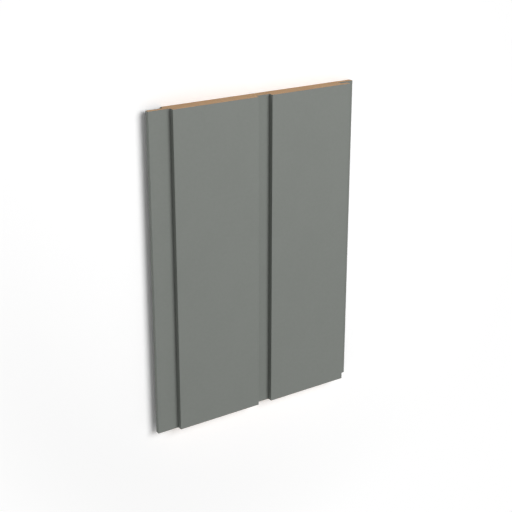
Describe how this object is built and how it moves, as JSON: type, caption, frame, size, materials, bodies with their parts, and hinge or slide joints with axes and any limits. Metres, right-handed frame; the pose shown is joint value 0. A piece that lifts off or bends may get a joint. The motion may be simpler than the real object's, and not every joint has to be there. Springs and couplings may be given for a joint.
{
  "type": "mdf wall panel",
  "caption": "Flat painted MDF wall panel with wide raised planks, square recesses between them, and a tongue on one side that locks into a slot and long back lip on the other.",
  "frame": {"origin": "middle of the back, on the surface that the panel lies on", "axes": "+X across the planks from the tongue to the back lip, +Y along the grooves, +Z out of the panelled face"},
  "size_m": [0.273, 0.374, 0.018],
  "materials": {
    "painted_mdf": "matt grey-green paint on the machined faces and back, raw brown fibreboard on the two sawn ends"
  },
  "bodies": {
    "root": {"wall_panel": "painted_mdf"}
  },
  "joints": []
}
